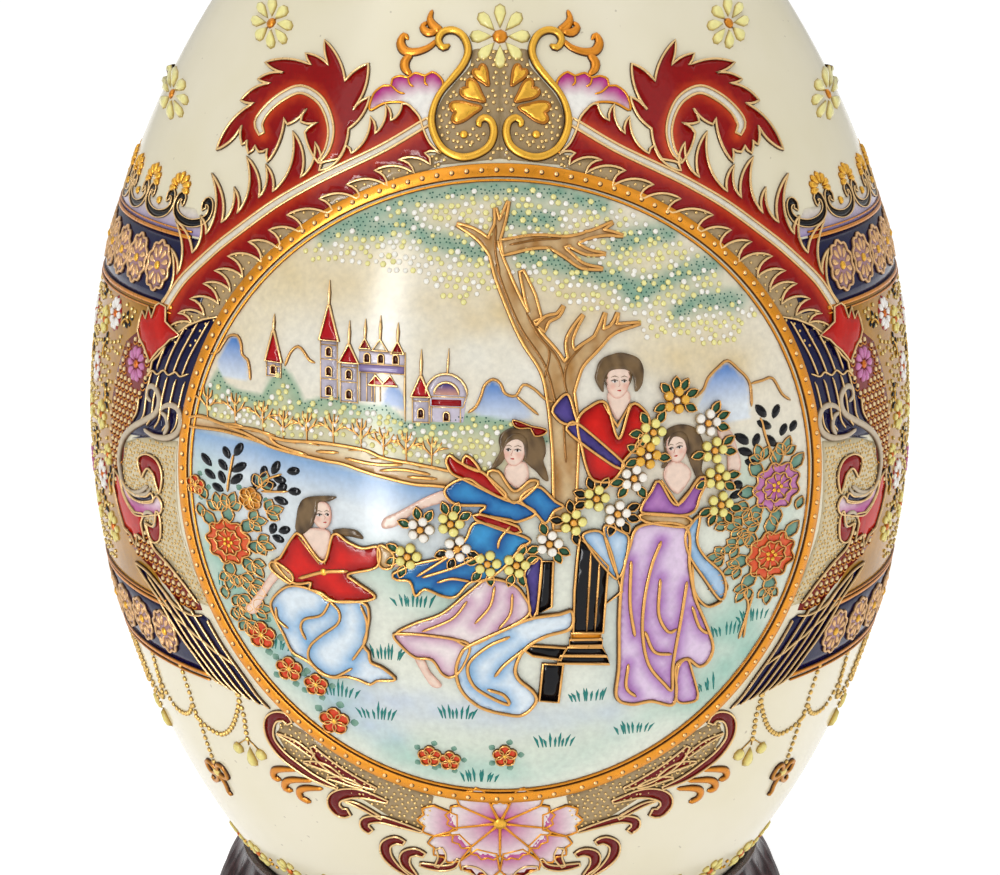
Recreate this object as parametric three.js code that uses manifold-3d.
// A porcelain egg vase on a fluted wooden stand, in millimetres, +Z up, standing on the plane Z = 0.
// The egg is a thin slip-cast shell with a small mouth at its tip. On its front and on its back a raised
// band frames a round picture panel. The egg rests in the stand's dish and lifts out.
import * as THREE from "three";
import { mergeVertices } from "three/addons/utils/BufferGeometryUtils.js";
import Module from "manifold-3d";

// Egg, as a closed form whose tip the mouth cuts off.
const eggRadius = 100; // at the belly
const eggLength = 304; // from pole to closed tip
const eggBottom = 21.4; // height of the lower pole
const eggLean = -0.029; // below 0 puts more of the body low down
const eggPinch = -0.165; // slims both ends
const eggTipPinch = -0.05; // slims the tip, and fills out the bottom
const wall = 5;
const mouthRadius = 23; // clear opening
const lipWidth = 5.5;
const lipHeight = 3;
const lipRounding = 1.2;

// Raised band around each picture panel, seen square on from the front or the back.
const panelRadius = 71; // to the middle of the band
const panelHeight = 172; // of the panel's centre
const bandWidth = 4.4;
const bandRise = 0.5;
const bandRoot = 1.2; // how deep the band is set into the wall

// Stand, from the rim down to the foot.
const standRim = 59.5; // height at which the egg leaves the dish
const rimWidth = 3.2;
const rimCrown = 0.6; // of the rim's rounded top
const seatGap = 0.3; // between egg and dish
const dishFloor = 19.5; // height of the dish's flat floor
const dishWallStart = 27.5; // height where the dish's wall begins to follow the egg
const bulgeRadius = 73.5;
const bulgeHeight = 37;
const bulgeRounding = 33;
const bulgeTop = 58.5;
const bulgeEnd = 19; // height of the bulge's lower edge
const flutes = 46;
const fluteDepth = 2.2;
const waistRadius = 58;
const waistHeight = 14.5;
const footRadius = 77;
const footRounding = 2.5;
const shoulderRadius = 70; // of the step on top of the foot
const shoulderHeight = 8;

const eggSegments = 56;
const eggRings = 20;
const insideRings = 12;
const lipSteps = 2;
const bandSteps = 40;
const dishSteps = 3;
const bulgeSteps = 7;
const roundingSteps = 3;
const stepsPerFlute = 2;
const fluteFadeSteps = 2; // rings over which a flute runs out at its ends

const porcelain = new THREE.MeshStandardMaterial({ color: 0xe9e2cf, roughness: 0.18, metalness: 0 });
const darkWood = new THREE.MeshStandardMaterial({ color: 0x2b0f12, roughness: 0.35, metalness: 0 });

// Share of the egg's half length above its middle, from -1 at the bottom pole to 1 at the closed tip.
const eggMiddle = eggBottom + eggLength / 2;
const shareAt = (height) => (height - eggMiddle) / (eggLength / 2);

// The egg's outer radius at a share of its half length.
function radiusAtShare(s) {
  const round = Math.sqrt(Math.max(0, 1 - s * s));
  return eggRadius * round * (1 + eggLean * s + eggPinch * s * s + eggTipPinch * s ** 3);
}

const eggRadiusAt = (height) => radiusAtShare(shareAt(height));

// A point of the egg's profile moved along its normal by a distance, outwards if above 0.
function offsetPoint(s, distance) {
  const step = 1e-4;
  const from = Math.max(-1, s - step);
  const here = new THREE.Vector2(radiusAtShare(s), eggMiddle + (s * eggLength) / 2);
  const along = new THREE.Vector2(
    radiusAtShare(s + step) - radiusAtShare(from),
    ((s + step - from) * eggLength) / 2,
  ).normalize();
  return new THREE.Vector2(here.x + along.y * distance, here.y - along.x * distance);
}

// The share at which the outer profile narrows to a radius, on the tip side.
function shareOfTipRadius(radius) {
  let low = 0;
  let high = 1;
  for (let i = 0; i < 40; i += 1) {
    const middle = (low + high) / 2;
    if (radiusAtShare(middle) > radius) low = middle;
    else high = middle;
  }
  return low;
}

// Shares spaced evenly in angle, so that the rings crowd towards the poles as the egg curves.
function shares(fromShare, toShare, count) {
  const start = Math.asin(fromShare);
  const end = Math.asin(toShare);
  return Array.from({ length: count + 1 }, (_, i) => Math.sin(start + ((end - start) * i) / count));
}

// Points of an arc about a centre, with angles in degrees from the horizontal.
function arc(centreX, centreY, radius, fromDeg, toDeg, count) {
  return Array.from({ length: count + 1 }, (_, i) => {
    const angle = THREE.MathUtils.degToRad(fromDeg + ((toDeg - fromDeg) * i) / count);
    return new THREE.Vector2(centreX + radius * Math.cos(angle), centreY + radius * Math.sin(angle));
  });
}

// A profile turned about the Z axis.
const turned = (profile, segments) => new THREE.LatheGeometry(profile, segments).rotateX(Math.PI / 2);

// The egg's shell: up its outside, over the mouth's rounded lip, and down its inside.
function shellGeometry() {
  const lipOuter = mouthRadius + lipWidth;
  const outside = shares(-1, shareOfTipRadius(lipOuter), eggRings).map((s) => offsetPoint(s, 0));
  outside[0].x = 0;
  const shoulder = outside[outside.length - 1].y;
  const roundingHeight = shoulder + lipHeight - lipRounding;
  const lip = [
    ...arc(lipOuter - lipRounding, roundingHeight, lipRounding, 0, 90, lipSteps),
    ...arc(mouthRadius + lipRounding, roundingHeight, lipRounding, 90, 180, lipSteps),
    new THREE.Vector2(mouthRadius, shoulder - wall),
  ];
  const inside = shares(shareOfTipRadius(mouthRadius + wall), -1, insideRings)
    .map((s) => offsetPoint(s, -wall))
    .filter((point) => point.y < shoulder - wall);
  inside[inside.length - 1].x = 0;
  return turned([...outside, ...lip, ...inside], eggSegments);
}

// A point on the egg's outside, seen square on from the front at a distance across and a height.
function onFront(across, height) {
  const radius = eggRadiusAt(height);
  return new THREE.Vector3(across, -Math.sqrt(radius * radius - across * across), height);
}

// The outward direction at a point of the egg's outside.
function outwardAt(point) {
  const step = 0.01;
  const slope = (eggRadiusAt(point.z + step) - eggRadiusAt(point.z - step)) / (2 * step);
  const radius = Math.hypot(point.x, point.y);
  return new THREE.Vector3(point.x / radius, point.y / radius, -slope).normalize();
}

// The panel's raised band: a ring of rectangular section that follows the egg's surface.
function bandGeometry() {
  const inner = panelRadius - bandWidth / 2;
  const outer = panelRadius + bandWidth / 2;
  const corners = [
    [inner, -bandRoot],
    [outer, -bandRoot],
    [outer, bandRise],
    [inner, bandRise],
  ];
  const places = [];
  const faces = [];
  for (let i = 0; i < bandSteps; i += 1) {
    const angle = (2 * Math.PI * i) / bandSteps;
    for (const [radius, rise] of corners) {
      const point = onFront(radius * Math.cos(angle), panelHeight + radius * Math.sin(angle));
      places.push(...point.addScaledVector(outwardAt(point), rise).toArray());
    }
    const here = i * corners.length;
    const next = ((i + 1) % bandSteps) * corners.length;
    for (let j = 0; j < corners.length; j += 1) {
      const k = (j + 1) % corners.length;
      faces.push(here + j, next + k, here + k, here + j, next + j, next + k);
    }
  }
  return new THREE.BufferGeometry()
    .setAttribute("position", new THREE.Float32BufferAttribute(places, 3))
    .setIndex(faces);
}

const wasm = await Module();
wasm.setup();

function toSolid(geometry) {
  const bare = geometry.clone();
  bare.deleteAttribute("normal");
  bare.deleteAttribute("uv");
  const merged = mergeVertices(bare, 1e-3);
  return new wasm.Manifold(
    new wasm.Mesh({
      numProp: 3,
      vertProperties: merged.attributes.position.array,
      triVerts: new Uint32Array(merged.index.array),
    }),
  );
}

function toGeometry(solid) {
  const made = solid.getMesh();
  const geometry = new THREE.BufferGeometry()
    .setAttribute("position", new THREE.BufferAttribute(made.vertProperties, 3))
    .setIndex(new THREE.BufferAttribute(made.triVerts, 1));
  geometry.computeVertexNormals();
  return geometry;
}

function eggMesh() {
  const front = bandGeometry();
  const back = front.clone().rotateZ(Math.PI);
  const solid = toSolid(shellGeometry()).add(toSolid(front)).add(toSolid(back));
  return new THREE.Mesh(toGeometry(solid), porcelain);
}

// The stand's foot and waist, from the middle of the underside to below the bulge.
function footProfile() {
  const scotia = waistHeight - shoulderHeight;
  return [
    new THREE.Vector2(0, 0),
    ...arc(footRadius - footRounding, footRounding, footRounding, -90, 90, roundingSteps),
    new THREE.Vector2(shoulderRadius, 2 * footRounding),
    new THREE.Vector2(shoulderRadius, shoulderHeight),
    ...arc(waistRadius + scotia, waistHeight, scotia, 270, 180, roundingSteps),
  ];
}

// The bulge's round side, from its lower edge to just under the rim.
function bulgeProfile() {
  const degreesAt = (height) => THREE.MathUtils.radToDeg(Math.asin((height - bulgeHeight) / bulgeRounding));
  const centre = bulgeRadius - bulgeRounding;
  return arc(centre, bulgeHeight, bulgeRounding, degreesAt(bulgeEnd), degreesAt(bulgeTop), bulgeSteps);
}

// The dish, from its rim down along the egg to a flat floor.
function dishProfile() {
  const wallPoints = shares(shareAt(dishWallStart), shareAt(standRim), dishSteps)
    .map((s) => offsetPoint(s, seatGap))
    .reverse();
  return [
    new THREE.Vector2(wallPoints[0].x + rimWidth / 2, wallPoints[0].y + rimCrown),
    ...wallPoints,
    new THREE.Vector2(wallPoints[wallPoints.length - 1].x, dishFloor),
    new THREE.Vector2(0, dishFloor),
  ];
}

// The turned stand, with upright flutes cut into its bulge.
function standMesh() {
  const foot = footProfile();
  const bulge = bulgeProfile();
  const profile = [...foot, ...bulge, ...dishProfile()];
  const geometry = turned(profile, flutes * stepsPerFlute);
  const position = geometry.attributes.position;
  for (let i = 0; i < position.count; i += 1) {
    const ring = (i % profile.length) - foot.length;
    if (ring <= 0 || ring >= bulge.length - 1) continue;
    const share = Math.min(1, ring / fluteFadeSteps, (bulge.length - 1 - ring) / fluteFadeSteps);
    const acrossFlute = (Math.floor(i / profile.length) % stepsPerFlute) / stepsPerFlute;
    const hollow = fluteDepth * share * Math.sin(Math.PI * acrossFlute);
    const scale = 1 - hollow / Math.hypot(position.getX(i), position.getY(i));
    position.setXYZ(i, position.getX(i) * scale, position.getY(i) * scale, position.getZ(i));
  }
  return new THREE.Mesh(geometry, darkWood);
}

const part = new THREE.Group();

const egg = eggMesh();
egg.name = "egg_vase";
part.add(egg);

const stand = standMesh();
stand.name = "stand";
part.add(stand);

export default part;
